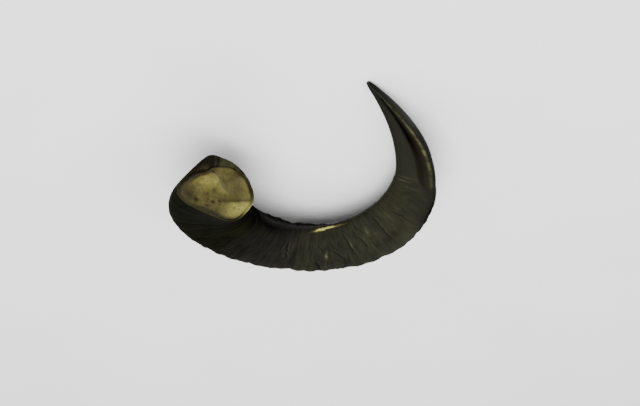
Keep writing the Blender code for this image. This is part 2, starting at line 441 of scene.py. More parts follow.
class HornCoreSettings(bpy.types.PropertyGroup):
    """The end of the bony core in the mouth."""

    rows: IntProperty(name="Rows", description="Rings across the core's end", default=150)
    columns: IntProperty(name="Columns", description="Points round each ring", default=200)
    gap: FloatProperty(
        name="Gap", description="Gap between the core and the sheath", default=0.0006, unit="LENGTH"
    )
    roughness: FloatProperty(
        name="Roughness", description="Height of the bony lumps", default=0.0011, unit="LENGTH"
    )


class HornColourSettings(bpy.types.PropertyGroup):
    """Main colours of the sheath, the core and the floor."""

    darkest: colour_setting("Darkest", "Darkest growth streaks", (0.0028, 0.0028, 0.0015))
    dark: colour_setting("Dark", "Dark growth streaks", (0.0062, 0.0062, 0.0031))
    middle: colour_setting("Middle", "Middle growth streaks", (0.0102, 0.0104, 0.0052))
    light: colour_setting("Light", "Light growth streaks", (0.0220, 0.0222, 0.0114))
    cone: colour_setting("Cone", "Even horn of the first year", (0.0088, 0.0088, 0.0054))
    worn_dark: colour_setting("Worn, dark", "Dark fibres of worn horn", (0.10, 0.094, 0.026))
    worn_light: colour_setting("Worn, light", "Light fibres of worn horn", (0.56, 0.53, 0.150))
    wall_low: colour_setting("Wall, dark", "Dark fibres of the wall", (0.0180, 0.0172, 0.0085))
    wall_high: colour_setting("Wall, light", "Light fibres of the wall", (0.042, 0.040, 0.0190))
    bone_dark: colour_setting("Bone, dark", "Dark bone", (0.036, 0.0285, 0.0066))
    bone_middle: colour_setting("Bone, middle", "Middle bone", (0.065, 0.0560, 0.0132))
    bone_light: colour_setting("Bone, light", "Light bone", (0.108, 0.0970, 0.0255))
    floor_dark: colour_setting("Floor, dark", "Darker mottle of the floor", (0.86, 0.86, 0.86))
    floor_light: colour_setting("Floor, light", "Lighter mottle of the floor", (0.90, 0.90, 0.90))


class HornStageSettings(bpy.types.PropertyGroup):
    """Camera, surroundings and floor."""

    target: FloatVectorProperty(
        name="Target",
        description="Point at the middle of the picture",
        size=3,
        default=(-0.01637, 0.01226, 0.04421),
        unit="LENGTH",
    )
    azimuth: FloatProperty(name="Azimuth", description="Camera azimuth, degrees", default=1.03)
    elevation: FloatProperty(name="Elevation", description="Camera elevation, degrees", default=36.90)
    roll: FloatProperty(name="Roll", description="Camera roll, degrees", default=-179.92)
    distance: FloatProperty(
        name="Distance", description="Camera distance from the target", default=1.0, unit="LENGTH"
    )
    lens: FloatProperty(name="Lens", description="Focal length in millimetres", default=51.14)
    surroundings: FloatProperty(
        name="Surroundings", description="Brightness of the white surroundings", default=0.95
    )
    floor_radius: FloatProperty(
        name="Floor", description="Radius of the floor", default=6.0, unit="LENGTH"
    )


def curve_values(places, values, at):
    """Smooth curve through values at places, with each slope set by its neighbours."""
    places = np.asarray(places, float)
    values = np.asarray(values, float)
    low = np.r_[0, np.arange(len(places) - 1)]
    high = np.r_[np.arange(1, len(places)), len(places) - 1]
    slopes = ((values[high] - values[low]).T / (places[high] - places[low])).T
    at = np.clip(at, places[0], places[-1])
    i = np.clip(np.searchsorted(places, at, side="right") - 1, 0, len(places) - 2)
    span = places[i + 1] - places[i]
    t = (at - places[i]) / span
    rise = 3 * t**2 - 2 * t**3
    if values.ndim > 1:
        rise, t, span = rise[..., None], t[..., None], span[..., None]
    return (
        (1 - rise) * values[i]
        + rise * values[i + 1]
        + (t**3 - 2 * t**2 + t) * span * slopes[i]
        + (t**3 - t**2) * span * slopes[i + 1]
    )


def unit(vectors):
    """Vectors scaled to length one."""
    return vectors / np.linalg.norm(vectors, axis=-1, keepdims=True)


def lattice_noise(points, seed):
    """Smooth noise from -1 to 1 at points (n, 3), from hashed lattice corners."""
    cell = np.floor(points).astype(np.int64)
    part = points - cell
    ease = part * part * part * (part * (part * 6 - 15) + 10)
    total = np.zeros(points.shape[:-1])
    for corner in range(8):
        offset = np.array([corner & 1, (corner >> 1) & 1, (corner >> 2) & 1])
        key = (cell + offset).astype(np.uint64)
        mixed = key[..., 0] * np.uint64(73856093) ^ key[..., 1] * np.uint64(19349663)
        mixed = mixed ^ key[..., 2] * np.uint64(83492791) ^ np.uint64(seed * 2654435761)
        mixed = (mixed ^ (mixed >> np.uint64(13))) * np.uint64(1274126177)
        mixed = mixed ^ (mixed >> np.uint64(16))
        value = (mixed & np.uint64(65535)).astype(float) / 32767.5 - 1.0
        weight = np.prod(np.where(offset, ease, 1 - ease), axis=-1)
        total += value * weight
    return total


def fractal_noise(points, seed, octaves=4, fall=0.5):
    """Several octaves of lattice noise, about -1 to 1."""
    total, height, norm = 0.0, 1.0, 0.0
    for octave in range(octaves):
        total = total + height * lattice_noise(points * 2.03**octave + 17.1 * octave, seed + octave)
        norm += height
        height *= fall
    return total / norm * 1.6


def bell(values, middle, width):
    """One at the middle, falling smoothly to nothing away from it."""
    return np.exp(-(((values - middle) / width) ** 2))


def near_angle(angle, middle, width):
    """Bell round the section, in degrees."""
    return np.exp(-((((angle - middle + 180.0) % 360.0 - 180.0) / width) ** 2))


def slope_up(values, low, high):
    """Rises smoothly from 0 at low to 1 at high."""
    t = np.clip((values - low) / (high - low), 0.0, 1.0)
    return t * t * (3.0 - 2.0 * t)


def before(values, middle, width):
    """One before the middle, falling smoothly to nothing past it."""
    return 1.0 / (1.0 + np.exp((values - middle) / width))


def bands(table, angle):
    """Sum of bands round the section: angle, half width, strength."""
    total = 0.0
    for around, half_width, strength in table:
        total = total + strength * near_angle(angle, around, half_width)
    return total


def soft_spots(table, place, angle):
    """Sum of spots: place, angle, half length in place, half width in degrees, strength."""
    total = 0.0
    for middle, around, half_length, half_width, strength in table:
        spot = bell(place, middle, half_length) * near_angle(angle, around, half_width)
        total = total + strength * spot
    return total


def centre_line(shape):
    """Places, points and the forward, inward and upward directions of the stations."""
    step = shape.length / STATIONS
    places = np.arange(STATIONS + 1) / STATIONS
    bends = curve_values(BEND_PLACES, [1.0 / r for r in shape.bend_radii], places)
    climbs = np.radians(curve_values(BEND_PLACES, list(shape.climb_angles), places))
    heading = math.radians(shape.heading) + np.r_[0.0, np.cumsum(bends[:-1] * step)]
    flat = np.cos(climbs)
    forward = np.stack([flat * np.cos(heading), flat * np.sin(heading), np.sin(climbs)], -1)
    points = np.vstack([np.zeros(3), np.cumsum(forward[:-1] * step, axis=0)])
    upward = unit(np.array([0.0, 0.0, 1.0]) - forward * forward[:, 2:])
    inward = np.cross(upward, forward)
    return places, points, forward, inward, upward


def plain_radius(shape, place, angle):
    """Distance from the centre line to the plain section."""
    girth = curve_values(GIRTH_PLACES, list(shape.girth_radii), place)
    total = 0.0
    for i, flat_angle in enumerate(FLAT_ANGLES):
        shares = (shape.mouth_shape[i], shape.body_shape[i], shape.tip_shape[i])
        reach = girth * curve_values(SHAPE_PLACES, shares, place)
        facing = np.maximum(np.cos(np.radians(angle - flat_angle)), 0.0)
        total = total + (facing / reach) ** CORNER_SHARPNESS
    return total ** (-1.0 / CORNER_SHARPNESS)


def girth_share(shape, place):
    """How thick the horn is, as a share of its girth where the tip begins."""
    return curve_values(GIRTH_PLACES, list(shape.girth_radii), place) / TIP_GIRTH


def broad_relief(shape, surface, place, angle):
    """Yearly grooves, wrinkles, first-year cone, bulge and keel hollow, as on the solid.

    The grooves and wrinkles are flatter than the solid's near the mouth and along the
    inner and outer edges.
    """
    along = place * shape.length
    relief = 0.0
    for groove, depth, half_width in YEAR_GROOVES:
        relief = relief - depth * bell(along, groove * shape.length, half_width)
    wander = 0.35 * np.sin(along / WRINKLE_DRIFT) + 0.12 * np.sin(np.radians(angle) * 2.0)
    turns = along / WRINKLE_LENGTH + wander
    fade = before(place, WRINKLE_END, 0.012)
    uneven = 0.75 + 0.25 * np.sin(along / WRINKLE_SWELL + 1.3)
    relief = relief + surface.wrinkle * uneven * fade * np.cos(2.0 * np.pi * turns)
    relief = relief * (0.12 + 0.88 * slope_up(place, 0.03, 0.24))
    inner_edge = near_angle(angle, 15.0, 46.0) * slope_up(place, 0.10, 0.26)
    outer_edge = near_angle(angle, KEEL_ANGLE, 40.0)
    outer_edge = outer_edge * (1.0 - slope_up(place, 0.30, 0.45) + 1.2 * slope_up(place, 0.52, 0.60))
    relief = relief * (1.0 - 0.7 * inner_edge - 0.4 * outer_edge)
    relief = relief - CONE_STEP * (1.0 - before(place, CONE_START, 0.004))
    relief = relief + 0.0014 * bell(place, 0.728, 0.020) * near_angle(angle, 158.0, 18.0)
    grown = np.clip((place - 0.76) / 0.06, 0.0, 1.0)
    slimming = girth_share(shape, place)
    hollow = near_angle(angle, KEEL_HOLLOW_ANGLE, KEEL_HOLLOW_WIDTH)
    relief = relief - KEEL_HOLLOW_DEPTH * grown * np.minimum(slimming, 1.0) * hollow
    return relief * np.minimum(1.0, 3.0 * slimming)


def growth_space(shape, place, angle, along_scale, around_scale):
    """Noise space in which marks run round the horn: quick along it, slow around it."""
    turned = np.radians(angle)
    bow = 0.0012 * np.sin(turned * 3.0) + 0.0010 * np.cos(turned * 2.0 + 0.6)
    along = (place * shape.length + bow) / along_scale
    return np.stack([along, np.cos(turned) * around_scale, np.sin(turned) * around_scale], -1)


def fine_relief(shape, surface, place, angle):
    """Growth ridges and fine lines."""
    grown = 1.0 - slope_up(place, 0.735, 0.755)
    ridges = fractal_noise(growth_space(shape, place, angle, 0.0042, 1.6), 3, 3, 0.55)
    ridges = 0.6 - 2.0 * np.abs(ridges)
    fine = fractal_noise(growth_space(shape, place, angle, 0.0016, 2.6), 11, 2, 0.6)
    patch = 0.65 + 0.35 * fractal_noise(growth_space(shape, place, angle, 0.03, 2.0), 23, 2)
    strength = patch * (0.25 + 0.75 * grown) * (1.0 + 0.5 * bands(RIDGE_EDGES, angle))
    strength = strength * (0.3 + 0.7 * slope_up(place, 0.0, 0.22))
    strength = strength * (1.0 - 0.45 * slope_up(place, 0.50, 0.62))
    height = surface.ridge * ridges * grown + surface.fine * fine
    return height * strength * np.minimum(1.0, 1.4 * girth_share(shape, place))


def cut_depth(shape, place, angle):
    """Depth of the cuts across the growth lines."""
    wiggle = 0.0012 * lattice_noise(growth_space(shape, place, angle, 0.02, 4.0), 31)
    along = place * shape.length + wiggle
    depth = 0.0
    for start, start_angle, end, end_angle, deep, half_width in CUTS:
        share = (angle - start_angle) / (end_angle - start_angle)
        middle = (start + (end - start) * np.clip(share, 0.0, 1.0)) * shape.length
        ends = slope_up(share, -0.12, 0.15) * (1.0 - slope_up(share, 0.85, 1.12))
        depth = depth + deep * ends * bell(along, middle, half_width)
    return depth


def worn_streak(shape, place, angle):
    """Where the inner edge is worn, and how pale it is there."""
    table = np.array(WORN_STREAK)
    middle, half_width, paleness = (np.interp(place, table[:, 0], table[:, i]) for i in (1, 2, 3))
    ragged = fractal_noise(growth_space(shape, place, angle, 0.003, 14.0), 51, 3)
    inside = 1.0 - np.abs(angle - middle) / half_width + 0.38 * ragged
    inside = np.where((place > table[0, 0]) & (place < table[-1, 0]), inside, -1.0)
    return slope_up(inside, 0.0, 0.55), paleness


def wall_thickness(surface, angle, place):
    """Thickness of the sheath's wall round the mouth, growing further in."""
    return surface.wall + bands(WALL_SWELLINGS, angle) + WALL_GROWTH * place


def wrapped(shape, place, angle, radius):
    """Points at a radius round the centre line, and the forward direction of each ring.

    Place, angle and radius are grids of rings by columns.
    """
    places, points, forward, inward, upward = centre_line(shape)
    rows = place[:, 0]
    point = curve_values(places, points, rows)[:, None]
    ahead = unit(curve_values(places, forward, rows))[:, None]
    across_way = unit(curve_values(places, inward, rows))[:, None]
    up_way = unit(curve_values(places, upward, rows))[:, None]
    roll = curve_values(ROLL_PLACES, list(shape.roll_angles), place)
    turned = np.radians(angle + roll)
    across = radius * np.cos(turned)
    up = radius * np.sin(turned)
    lean_across, lean_up, fade = shape.slant
    slant = (lean_across * across + lean_up * up) * np.exp(-place / fade)
    notch = near_angle(angle, NOTCH_ANGLE, NOTCH_WIDTH) * np.exp(-place / NOTCH_FADE)
    slant = slant + NOTCH_DEPTH * notch
    made = point + across_way * across[..., None] + up_way * up[..., None]
    return made + ahead * slant[..., None], ahead


def laid_down(shape, points):
    """Points turned to the horn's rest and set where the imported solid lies."""
    lean = Matrix.Rotation(math.radians(shape.lean[0]), 3, "X")
    lean = lean @ Matrix.Rotation(math.radians(shape.lean[1]), 3, "Y")
    return points @ np.array(lean).T + np.array(shape.mouth_point)


def in_box(points):
    """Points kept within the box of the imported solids."""
    margin = 0.0001
    low, high = (np.array(corner) for corner in CAD_BOUNDS)
    return np.clip(points, low + margin, high - margin)


def crest_distance(across, up):
    """Distance to the crest line on the core, and the signed side of it."""
    nearest = np.full(across.shape, 1.0)
    side = np.zeros(across.shape)
    for (x0, y0), (x1, y1) in zip(CORE_CREST[:-1], CORE_CREST[1:]):
        run_x, run_y = x1 - x0, y1 - y0
        share = ((across - x0) * run_x + (up - y0) * run_y) / (run_x**2 + run_y**2)
        share = np.clip(share, 0.0, 1.0)
        gap_x, gap_y = across - x0 - share * run_x, up - y0 - share * run_y
        gap = np.hypot(gap_x, gap_y)
        closer = gap < nearest
        side = np.where(closer, np.sign(gap_x * run_y - gap_y * run_x), side)
        nearest = np.where(closer, gap, nearest)
    return nearest, side


def turned_angles(columns):
    """Angles round a ring, closer together at the three edges; the last closes it."""
    even = 6.0 + 360.0 * np.arange(columns + 1) / columns
    return even - np.degrees(0.15 * np.sin(np.radians(3.0 * (even - 30.0))))


def sheath_grid(shape, surface):
    """Grid of the sheath's points, from the bottom of the recess over the lip to the tip.

    It has their place and angle, the share of the wall that is taken off, how far they
    drop inward, and which of them are on the outer side.
    """
    deepest = surface.recess / shape.length
    inner_places = np.linspace(deepest, 0.0, RECESS_ROWS)
    outer_places = np.linspace(0.0, 1.0, surface.rows)
    places = np.r_[[deepest], inner_places, np.zeros(LIP_ROWS), outer_places, [1.0]]
    first_lip = 1 + RECESS_ROWS
    first_outer = first_lip + LIP_ROWS
    share = np.zeros(len(places))
    share[:first_lip] = 1.0
    share[first_lip:first_outer] = np.linspace(0.93, 0.07, LIP_ROWS)
    drop = np.zeros(len(places))
    drop[RECESS_ROWS] = LIP_DROP
    drop[first_lip:first_outer] = LIP_DROP * np.linspace(0.9, 0.0, LIP_ROWS) ** 2 - LIP_CROWN
    outer = np.arange(len(places)) >= first_outer
    place, angle = np.meshgrid(places, turned_angles(surface.columns), indexing="ij")
    return SimpleNamespace(
        place=place, angle=angle, share=share[:, None], drop=drop[:, None], outer=outer[:, None]
    )


def sheath_marks(shape, surface, grid):
    """Growth lines, cuts, deep groove, worn streak, keel and mottle of the sheath."""
    place, angle = grid.place, grid.angle
    worn, paleness = worn_streak(shape, place, angle)
    keel = near_angle(angle, KEEL_ANGLE, 2.7) * slope_up(place, 0.755, 0.775)
    return SimpleNamespace(
        lines=fine_relief(shape, surface, place, angle),
        cuts=cut_depth(shape, place, angle),
        beside_cuts=cut_depth(shape, place - 0.0030, angle),
        deep_groove=bell(place, 0.376, 0.0042) * near_angle(angle, 97.0, 58.0),
        worn=worn,
        paleness=paleness,
        keel=keel * (1.0 - slope_up(place, 0.95, 0.99)),
        mottle=fractal_noise(growth_space(shape, place, angle, 0.006, 3.0), 71, 3),
    )


def sheath_points(shape, surface, grid, marks):
    """Points of the sheath, before it is laid down."""
    place, angle = grid.place, grid.angle
    wall = wall_thickness(surface, angle, place)
    wall = wall + 0.0006 * fractal_noise(growth_space(shape, place, angle, 0.02, 6.0), 41, 3)
    radius = plain_radius(shape, place, angle) + broad_relief(shape, surface, place, angle)
    radius = radius - grid.share * wall
    detail = marks.lines - marks.cuts - 0.0011 * marks.deep_groove - 0.0005 * marks.worn
    detail = detail + 0.0004 * marks.keel * (1.0 + marks.mottle)
    radius = radius + np.where(grid.outer, detail, 0.0)
    points, ahead = wrapped(shape, place, angle, radius)
    nicks = fractal_noise(growth_space(shape, place, angle, 0.5, 9.0), 61, 3)
    nick_depth = 0.0007 * np.maximum(nicks, -0.3) * np.exp(-place / 0.006)
    nicked = np.arange(len(place))[:, None] >= FIRST_NICKED_RING
    drop = grid.drop + np.where(nicked, nick_depth, 0.0)
    points = points + ahead * drop[..., None]
    points[0] = points[0].mean(axis=0)
    points[-1] = points[-1].mean(axis=0) + ahead[-1] * TIP_POINT
    return points


def painted_shade_faces(place, angle):
    """Masks of painted shade on the faces turned from the light: the inner face, the dark area beside
    the keel, and the strip on the outer face.
    """
    inner_face = near_angle(angle, -28.0, 40.0) * slope_up(place, 0.0, 0.04)
    beside = near_angle(angle, 124.0 + 60.0 * (place - 0.90), 15.0) * slope_up(place, 0.82, 0.88)
    beside = 1.1 * beside * (1.0 - slope_up(place, 0.965, 0.99))
    strip = near_angle(angle, 180.0, 21.0) * slope_up(place, 0.75, 0.78)
    strip = strip * (1.0 - 0.85 * slope_up(place, 0.85, 0.91))
    strip = strip + 1.6 * near_angle(angle, 169.0, 17.0) * bell(place, 0.705, 0.048)
    return inner_face, beside, strip


def sheath_shade(place, angle, marks, faces):
    """Strength of the painted shade, almost black: on the dark faces turned from the light, in cuts,
    grooves and fine lines, and in dark spots, with less in the lit pocket of the inner face.
    """
    inner_face, beside, strip = faces
    pocket = bell(place, 0.285, 0.032) * near_angle(angle, 14.0, 13.0)
    slanting = near_angle(angle, 18.0 + 160.0 * (place - 0.22), 7.0) * bell(place, 0.262, 0.034)
    shade = 0.95 * inner_face * (1.0 - 0.6 * pocket) + beside + 0.92 * strip
    shade = shade + 650.0 * marks.cuts + 0.7 * marks.deep_groove
    shade = shade + 0.5 * slope_up(-marks.lines, 0.0002, 0.0007)
    return shade + 0.6 * slanting + soft_spots(SHADE_SPOTS, place, angle)


def sheath_brown(place, angle):
    """Strength of the brown zone beside the keel and of the brown spots."""
    step = 0.745 + 0.0009 * (145.0 - angle)
    brown = near_angle(angle, 127.0 - 70.0 * (0.83 - place), 18.0) * slope_up(place - step, 0.0, 0.006)
    brown = 1.15 * brown * (1.0 - slope_up(place, 0.85, 0.92))
    return brown + soft_spots(BROWN_SPOTS, place, angle)


def sheath_scuffs_and_highlights(shape, place, angle, marks):
    """Strength of the painted highlights on the lip beside the cuts, and of the dull scuffs on the keel
    and in spots.
    """
    # Painted highlight: the lip just beside each cut is made paler.
    scuff_and_highlight = 75.0 * np.maximum(marks.beside_cuts - marks.cuts, 0.0) * slope_up(place, 0.22, 0.36)
    worn_keel = marks.keel * (0.25 + 0.75 * slope_up(place, 0.79, 0.83))
    worn_keel = worn_keel * (1.0 - 0.75 * slope_up(place, 0.87, 0.92))
    scuff_and_highlight = scuff_and_highlight + 0.36 * worn_keel * np.clip(1.0 + marks.mottle, 0.3, 1.5)
    broken = 0.6 + 0.9 * fractal_noise(growth_space(shape, place, angle, 0.004, 9.0), 151, 3)
    return scuff_and_highlight + soft_spots(SCUFFS, place, angle) * np.clip(broken, 0.2, 1.4)


def body_attributes(shape, grid, marks):
    """Point attributes that colour the outer side of the sheath."""
    place, angle, outer = grid.place, grid.angle, grid.outer
    faces = painted_shade_faces(place, angle)
    shade = sheath_shade(place, angle, marks, faces)
    brown = sheath_brown(place, angle)
    scuff_and_highlight = sheath_scuffs_and_highlights(shape, place, angle, marks)
    pale = marks.worn * marks.paleness
    pale = pale + 0.06 * marks.keel * np.clip(0.8 + 1.2 * marks.mottle, 0.0, 1.6)
    tones = np.array(TONES)
    far_side = 0.55 * near_angle(angle, 245.0, 50.0) * (1.0 - slope_up(place, 0.30, 0.50))
    dull = near_angle(angle, 182.0, 26.0) * slope_up(place, 0.75, 0.78)
    matt = sum(faces) + 0.7 * brown + 0.5 * marks.keel + 0.5 * dull
    gloss = 0.04 + 0.96 * slope_up(place, 0.20, 0.42)
    return {
        "along": place * shape.length,
        "round_x": np.cos(np.radians(angle)),
        "round_y": np.sin(np.radians(angle)),
        "tone": np.interp(place, tones[:, 0], tones[:, 1]) + far_side,
        "violet": bell(place, 0.30, 0.10),
        "brown": np.clip(brown, 0.0, 0.92),
        "shade": np.where(outer, np.clip(shade, 0.0, 0.97), 0.0),
        "worn": np.where(outer, np.clip(pale, 0.0, 1.0), 0.0),
        "scuff_and_highlight": np.where(outer, np.clip(scuff_and_highlight, 0.0, 1.0), 0.0),
        "gloss": gloss * (1.0 - 0.95 * np.clip(matt, 0.0, 1.0)),
        "grown": 1.0 - 0.45 * slope_up(place, 0.50, 0.62) - 0.40 * slope_up(place, 0.742, 0.760),
    }


def mouth_attributes(shape, grid):
    """Point attributes that colour the wall and the lip round the mouth."""
    place, angle, share = grid.place, grid.angle, grid.share
    in_lip = (share > 0.0) & (share < 0.95)
    # Painted shadow on the wall: the crack beside the core, the upper left side of the lip, and the
    # bands next to the core.
    crack = near_angle(angle, 272.0 + 400.0 * (place - 0.01), 3.0)
    ragged = fractal_noise(growth_space(shape, place, angle, 0.03, 7.0), 131, 3)
    dark_side = near_angle(angle, 205.0, 52.0) * (1.0 - slope_up(share + 0.22 * ragged, 0.35, 0.85))
    wall_shadow = bands(WALL_SHADOWS, angle) + 0.8 * crack + dark_side
    return {
        "inner": np.broadcast_to(np.where(grid.outer, 0.0, 1.0), angle.shape),
        # Partly the wall's own brown, partly painted shade.
        "wall_brown": near_angle(angle, 200.0, 42.0),
        "wall_shadow": np.clip(wall_shadow, 0.0, 0.95),
        # The wall's pale cream, painted brighter where it faces the light.
        "wall_pale": near_angle(angle, 18.0, 13.0),
        "wall_green": bands(WALL_GREEN, angle),
        "rim": np.where(in_lip, 0.6, 0.0) * near_angle(angle, 125.0, 42.0),
    }


def core_radius(shape, surface, core, place, angle):
    """Distance from the centre line to the side of the core."""
    radius = plain_radius(shape, place, angle) + broad_relief(shape, surface, place, angle)
    return radius - wall_thickness(surface, angle, place) - core.gap


def core_grid(shape, surface, core):
    """Grid of the core's plain points, from the middle of its end down its side.

    It has their angle, the share of the way out from the middle, which of them are on
    the end, their position, the forward direction, and where they are across and up.
    """
    deepest = surface.recess / shape.length
    rim_place = deepest / RECESS_RINGS
    shares = np.r_[0.0, np.sin(0.5 * np.pi * np.arange(1, core.rows) / (core.rows - 1))]
    side_places = np.linspace(rim_place, deepest - core.gap / shape.length, CORE_SIDE_ROWS)
    places = np.r_[np.full(len(shares), rim_place), side_places, side_places[-1:]]
    share = np.r_[shares, np.ones(len(side_places)), 0.0][:, None]
    top = (np.arange(len(places)) < len(shares))[:, None]
    place, angle = np.meshgrid(places, turned_angles(core.columns), indexing="ij")
    edge, ahead = wrapped(shape, place, angle, core_radius(shape, surface, core, place, angle))
    middle, _ = wrapped(shape, place, angle, np.zeros_like(place))
    mouth = np.zeros_like(place)
    lip, lip_ahead = wrapped(shape, mouth, angle, core_radius(shape, surface, core, mouth, angle))
    lip = lip + lip_ahead * LIP_DROP
    rise = np.where(top, 0.12 + 0.75 * near_angle(angle, 10.0, 75.0), 0.0)[..., None]
    edge = edge + (lip - edge) * rise
    spot = middle + (edge - middle) * share[..., None]
    _, _, _, inward, upward = centre_line(shape)
    offset = spot - middle
    across, up = offset @ inward[CORE_STATION], offset @ upward[CORE_STATION]
    return SimpleNamespace(
        angle=angle, share=share, top=top, spot=spot, ahead=ahead, across=across, up=up
    )


def round_spots(table, grid):
    """Sum of round spots on the core's end: across, up, radius, strength."""
    total = 0.0
    for across, up, reach, strength in table:
        gap = np.hypot(grid.across - across, grid.up - up)
        total = total + strength * bell(gap, 0.0, reach)
    return total


def edge_bands(table, grid, bumps):
    """Sum of bands along the core's edge, which the bumps make ragged."""
    total = 0.0
    for around, half_width, start, full, ragged, strength in table:
        reached = slope_up(grid.share + ragged * bumps, start, full)
        total = total + strength * near_angle(grid.angle, around, half_width) * reached
    return total


def core_forms(grid):
    """Bumps, pits, valley and crest of the core's end."""
    across, up = grid.across, grid.up
    bumps = fractal_noise(grid.spot / 0.005, 81, 4, 0.55)
    deep = 0.0
    for pit_across, pit_up, reach in CORE_PITS:
        gap = np.hypot(across - pit_across, up - pit_up)
        deep = deep + bell(gap, 0.0, reach * (1.0 + 0.5 * bumps))
    crest_gap, side = crest_distance(across, up)
    slanted = up + 0.33 * across
    return SimpleNamespace(
        bumps=bumps,
        facets=np.abs(fractal_noise(grid.spot / 0.011, 85, 2, 0.5)),
        pits=np.maximum(0.0, fractal_noise(grid.spot / 0.0036, 91, 3, 0.6) - 0.60),
        deep=deep,
        slanted=slanted,
        valley=bell(slanted, 0.0178, 0.0019) * slope_up(across, 0.002, 0.014),
        crest=np.exp(-crest_gap / 0.0022),
        crest_gap=crest_gap,
        side=side,
    )


def core_points(core, grid, forms):
    """Points of the core, before it is laid down."""
    height = round_spots(CORE_LUMPS, grid) + CREST_HEIGHT * forms.crest
    smooth = slope_up(grid.across, 0.010, 0.018) * (1.0 - slope_up(forms.slanted, 0.012, 0.016))
    rough = core.roughness * forms.bumps * (1.0 - 0.65 * smooth) - 0.0024 * forms.facets
    rough = rough - 0.0024 * forms.pits - 0.0030 * forms.deep - 0.0014 * forms.valley
    fade = 1.0 - grid.share**6
    lift = np.where(grid.top, (height + rough) * fade, 0.0)
    return grid.spot - grid.ahead * lift[..., None]


def core_attributes(grid, forms):
    """Point attributes that colour the core."""
    across, up, bumps, slanted = grid.across, grid.up, forms.bumps, forms.slanted
    brown_band = edge_bands(CORE_BROWN_BAND, grid, bumps)
    # The hollow layer: brown in the hollows and the brown band, with painted shade in the valley and
    # pits, at the upper left edge, on the crest's shaded side and below the facet.
    hollow = round_spots(CORE_HOLLOWS, grid) + 0.40 * forms.valley
    hollow = hollow + 0.6 * slope_up(forms.pits, 0.08, 0.40) + 0.9 * np.clip(forms.deep, 0.0, 1.0)
    hollow = hollow + 0.6 * edge_bands(CORE_SHADOW, grid, bumps) + 0.85 * brown_band
    hollow = hollow + 0.30 * np.exp(-forms.crest_gap / 0.005) * (forms.side > 0)
    hollow = hollow + 0.40 * bell(slanted, -0.0005, 0.0018) * bell(across, -0.016, 0.010)
    # Painted light: the bone's yellow, brighter on the facet beside the crest and on the lower band,
    # which face the light.
    facet = bell(np.hypot((across + 0.011) / 1.4, up + 0.002), 0.0, 0.0095) * (forms.side < 0)
    lower = slope_up(slanted, 0.0172, 0.0228) * (1.0 - slope_up(slanted, 0.038, 0.046))
    lit_yellow = lower * (0.10 * slope_up(across, 0.002, 0.010) + 0.62 * slope_up(across, 0.008, 0.028))
    lit_yellow = lit_yellow * (1.0 + 0.5 * bumps)
    lit_yellow = lit_yellow + 0.54 * facet * (1.0 + 0.6 * bumps) * (1.0 - brown_band)
    margin = 0.95 * edge_bands(CORE_MARGIN, grid, bumps) + round_spots(CORE_OLIVE, grid)
    return {
        "hollow": np.clip(hollow, 0.0, 0.92),
        # Painted highlight along the crest.
        "crest": 0.55 * forms.crest,
        "margin": np.clip(margin, 0.0, 0.95),
        # Painted shadow along the core's edge, next to the sheath.
        "gap_shadow": np.clip(0.95 * edge_bands(CORE_GAP_SHADOWS, grid, bumps), 0.0, 1.0),
        "lit_yellow": np.clip(lit_yellow, 0.0, 0.9),
    }


def wrapped_sheet(name, points, attributes):
    """A finely divided sheet laid on the grid of points, sewn at its seam and poles."""
    rows, columns = points.shape[:2]
    mesh = bmesh.new()
    bmesh.ops.create_grid(mesh, x_segments=columns - 1, y_segments=rows - 1, size=1.0)
    data = bpy.data.meshes.new(name)
    mesh.to_mesh(data)
    mesh.free()
    flat = np.empty(len(data.vertices) * 3, np.float32)
    data.vertices.foreach_get("co", flat)
    spots = flat.reshape(-1, 3)
    column = np.rint((spots[:, 0] + 1.0) / 2.0 * (columns - 1)).astype(int)
    row = np.rint((spots[:, 1] + 1.0) / 2.0 * (rows - 1)).astype(int)
    data.vertices.foreach_set("co", points[row, column].astype(np.float32).ravel())
    for key, values in attributes.items():
        layer = data.attributes.new(key, "FLOAT", "POINT")
        layer.data.foreach_set("value", values[row, column].astype(np.float32))
    mesh = bmesh.new()
    mesh.from_mesh(data)
    bmesh.ops.remove_doubles(mesh, verts=mesh.verts, dist=1e-6)
    bmesh.ops.recalc_face_normals(mesh, faces=mesh.faces)
    mesh.to_mesh(data)
    mesh.free()
    data.shade_smooth()
    item = bpy.data.objects.new(name, data)
    bpy.context.collection.objects.link(item)
    return item


def node(tree, kind, **settings):
    """Adds a shader node and sets its named properties."""
    made = tree.nodes.new(kind)
    for key, value in settings.items():
        setattr(made, key, value)
    return made


def link(tree, source, target):
    """Joins an output socket to an input socket."""
    tree.links.new(source, target)


